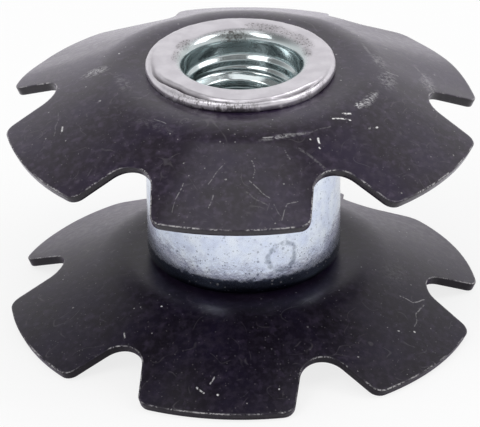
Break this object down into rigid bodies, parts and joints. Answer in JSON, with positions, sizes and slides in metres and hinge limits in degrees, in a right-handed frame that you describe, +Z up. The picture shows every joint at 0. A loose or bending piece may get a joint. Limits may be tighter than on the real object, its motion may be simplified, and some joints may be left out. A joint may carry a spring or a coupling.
{
  "type": "star nut",
  "caption": "Threaded core nut carried by toothed, domed spring-steel stars that wedge inside a tube, for a bolt pulled down from above.",
  "frame": {"origin": "on the thread axis, at the level that the lower star's tooth tips stand on", "axes": "+Z up the thread axis, out of the bore on the domed side; -Y through the middle of one tooth of the upper star"},
  "size_m": [0.0256, 0.026, 0.0152],
  "materials": {
    "zinc_plated_steel": "bright zinc plate, faintly blue, speckled at the shoulders",
    "black_spring_steel_upper": "black phosphate on spring steel, satin, scuffed to bare metal at the bend",
    "black_spring_steel_lower": "black phosphate on spring steel, satin, lightly scratched"
  },
  "bodies": {
    "root": {"threaded_core": "zinc_plated_steel", "upper_star_flange": "black_spring_steel_upper", "lower_star_flange": "black_spring_steel_lower"}
  },
  "joints": []
}
